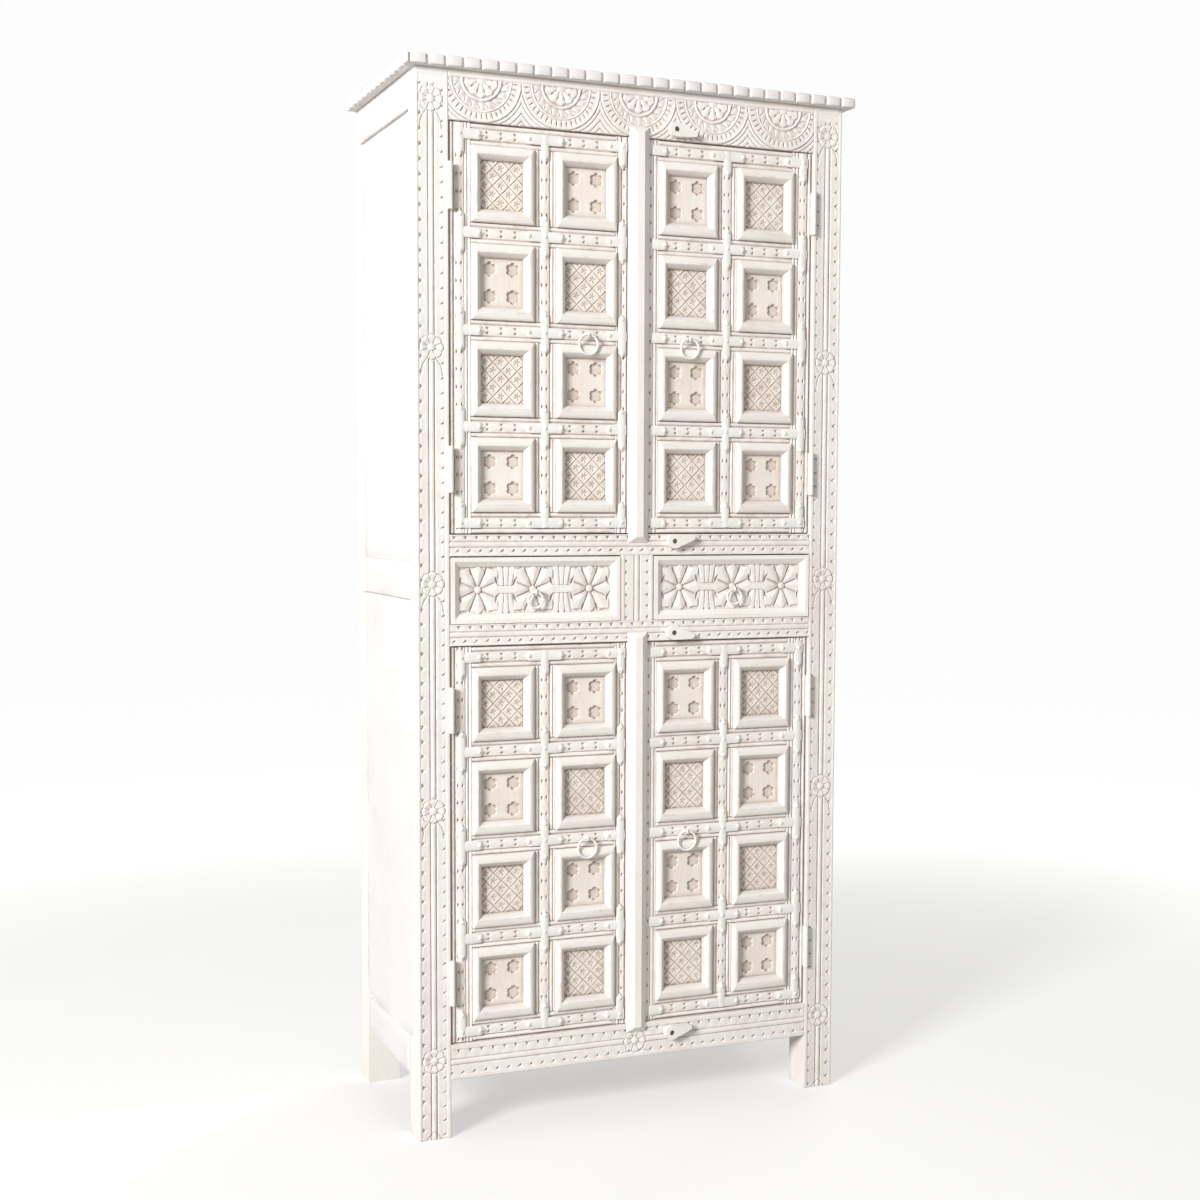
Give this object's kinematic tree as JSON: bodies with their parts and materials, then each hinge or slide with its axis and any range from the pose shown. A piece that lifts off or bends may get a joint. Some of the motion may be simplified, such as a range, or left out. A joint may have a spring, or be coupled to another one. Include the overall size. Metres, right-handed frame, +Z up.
{
  "type": "wardrobe",
  "caption": "Tall carved wooden cupboard with panelled double doors above and below a row of ring-pull drawers, turn latches and a notched top board.",
  "frame": {"origin": "middle of the footprint, on the floor", "axes": "+X to the right seen from the front, +Y to the back, +Z up"},
  "size_m": [0.824, 0.408, 1.8],
  "materials": {
    "carved_wood": "distressed off-white limewash over carved hardwood",
    "inset_wood": "rubbed limewash over carved hardwood",
    "plain_wood": "off-white limewash, brushed",
    "inner_wood": "bare sawn hardwood",
    "painted_iron": "forged iron painted off-white"
  },
  "bodies": {
    "case": {"left_front_post": "carved_wood", "right_front_post": "carved_wood", "frieze_rail": "carved_wood", "drawer_rails": "carved_wood", "drawer_divider": "carved_wood", "bottom_rail": "carved_wood", "top_board": "plain_wood", "rear_posts": "plain_wood", "side_rails": "plain_wood", "side_panels": "plain_wood", "back_rails": "plain_wood", "back_panels": "plain_wood", "floor_boards": "inner_wood", "shelves": "inner_wood", "shelf_cleats": "inner_wood", "drawer_guides": "inner_wood", "hinge_post_leaves": "painted_iron", "hinge_pins": "painted_iron", "latch_screws": "painted_iron"},
    "upper_left_door": {"upper_left_door_frame": "carved_wood", "upper_left_panel_mouldings": "carved_wood", "upper_left_inset_panels": "inset_wood", "upper_left_ironwork": "painted_iron", "upper_left_hinge_leaves": "painted_iron"},
    "upper_left_ring": {"upper_left_ring": "painted_iron"},
    "upper_right_door": {"upper_right_door_frame": "carved_wood", "upper_right_panel_mouldings": "carved_wood", "upper_right_inset_panels": "inset_wood", "upper_right_ironwork": "painted_iron", "upper_right_hinge_leaves": "painted_iron", "upper_cover_strip": "carved_wood"},
    "upper_right_ring": {"upper_right_ring": "painted_iron"},
    "lower_left_door": {"lower_left_door_frame": "carved_wood", "lower_left_panel_mouldings": "carved_wood", "lower_left_inset_panels": "inset_wood", "lower_left_ironwork": "painted_iron", "lower_left_hinge_leaves": "painted_iron"},
    "lower_left_ring": {"lower_left_ring": "painted_iron"},
    "lower_right_door": {"lower_right_door_frame": "carved_wood", "lower_right_panel_mouldings": "carved_wood", "lower_right_inset_panels": "inset_wood", "lower_right_ironwork": "painted_iron", "lower_right_hinge_leaves": "painted_iron", "lower_cover_strip": "carved_wood"},
    "lower_right_ring": {"lower_right_ring": "painted_iron"},
    "left_drawer": {"left_drawer_front_frame": "carved_wood", "left_drawer_carved_panel": "carved_wood", "left_drawer_box": "inner_wood", "left_drawer_ring_staple": "painted_iron"},
    "left_drawer_ring": {"left_drawer_ring": "painted_iron"},
    "right_drawer": {"right_drawer_front_frame": "carved_wood", "right_drawer_carved_panel": "carved_wood", "right_drawer_box": "inner_wood", "right_drawer_ring_staple": "painted_iron"},
    "right_drawer_ring": {"right_drawer_ring": "painted_iron"},
    "upper_top_latch": {"upper_top_latch": "carved_wood"},
    "upper_bottom_latch": {"upper_bottom_latch": "carved_wood"},
    "lower_top_latch": {"lower_top_latch": "carved_wood"},
    "lower_bottom_latch": {"lower_bottom_latch": "carved_wood"}
  },
  "joints": [
    {"name": "upper_left_door_hinge", "type": "hinge", "parent": "case", "child": "upper_left_door", "pos_m": [-0.3365, -0.1908, 1.363], "axis": [0, 0, -1], "range_deg": [0, 120]},
    {"name": "upper_left_ring_swing", "type": "hinge", "parent": "upper_left_door", "child": "upper_left_ring", "pos_m": [-0.0945, -0.193, 1.363], "axis": [-1, 0, 0], "range_deg": [0, 100]},
    {"name": "upper_right_door_hinge", "type": "hinge", "parent": "case", "child": "upper_right_door", "pos_m": [0.3365, -0.1908, 1.363], "axis": [0, 0, 1], "range_deg": [0, 120]},
    {"name": "upper_right_ring_swing", "type": "hinge", "parent": "upper_right_door", "child": "upper_right_ring", "pos_m": [0.0945, -0.193, 1.363], "axis": [-1, 0, 0], "range_deg": [0, 100]},
    {"name": "lower_left_door_hinge", "type": "hinge", "parent": "case", "child": "lower_left_door", "pos_m": [-0.3365, -0.1908, 0.499], "axis": [0, 0, -1], "range_deg": [0, 120]},
    {"name": "lower_left_ring_swing", "type": "hinge", "parent": "lower_left_door", "child": "lower_left_ring", "pos_m": [-0.0945, -0.193, 0.499], "axis": [-1, 0, 0], "range_deg": [0, 100]},
    {"name": "lower_right_door_hinge", "type": "hinge", "parent": "case", "child": "lower_right_door", "pos_m": [0.3365, -0.1908, 0.499], "axis": [0, 0, 1], "range_deg": [0, 120]},
    {"name": "lower_right_ring_swing", "type": "hinge", "parent": "lower_right_door", "child": "lower_right_ring", "pos_m": [0.0945, -0.193, 0.499], "axis": [-1, 0, 0], "range_deg": [0, 100]},
    {"name": "left_drawer_slide", "type": "slide", "parent": "case", "child": "left_drawer", "axis": [0, -1, 0], "range_m": [0, 0.25]},
    {"name": "left_drawer_ring_swing", "type": "hinge", "parent": "left_drawer", "child": "left_drawer_ring", "pos_m": [-0.187, -0.187, 0.9265], "axis": [-1, 0, 0], "range_deg": [0, 100]},
    {"name": "right_drawer_slide", "type": "slide", "parent": "case", "child": "right_drawer", "axis": [0, -1, 0], "range_m": [0, 0.25]},
    {"name": "right_drawer_ring_swing", "type": "hinge", "parent": "right_drawer", "child": "right_drawer_ring", "pos_m": [0.187, -0.187, 0.9265], "axis": [-1, 0, 0], "range_deg": [0, 100]},
    {"name": "upper_top_latch_turn", "type": "hinge", "parent": "case", "child": "upper_top_latch", "pos_m": [0.066, -0.1865, 1.718], "axis": [0, -1, 0], "range_deg": [-80, 10]},
    {"name": "upper_bottom_latch_turn", "type": "hinge", "parent": "case", "child": "upper_bottom_latch", "pos_m": [0.066, -0.1865, 1.012], "axis": [0, 1, 0], "range_deg": [-80, 10]},
    {"name": "lower_top_latch_turn", "type": "hinge", "parent": "case", "child": "lower_top_latch", "pos_m": [0.066, -0.1865, 0.852], "axis": [0, -1, 0], "range_deg": [-80, 10]},
    {"name": "lower_bottom_latch_turn", "type": "hinge", "parent": "case", "child": "lower_bottom_latch", "pos_m": [0.066, -0.1865, 0.139], "axis": [0, 1, 0], "range_deg": [-80, 10]}
  ]
}
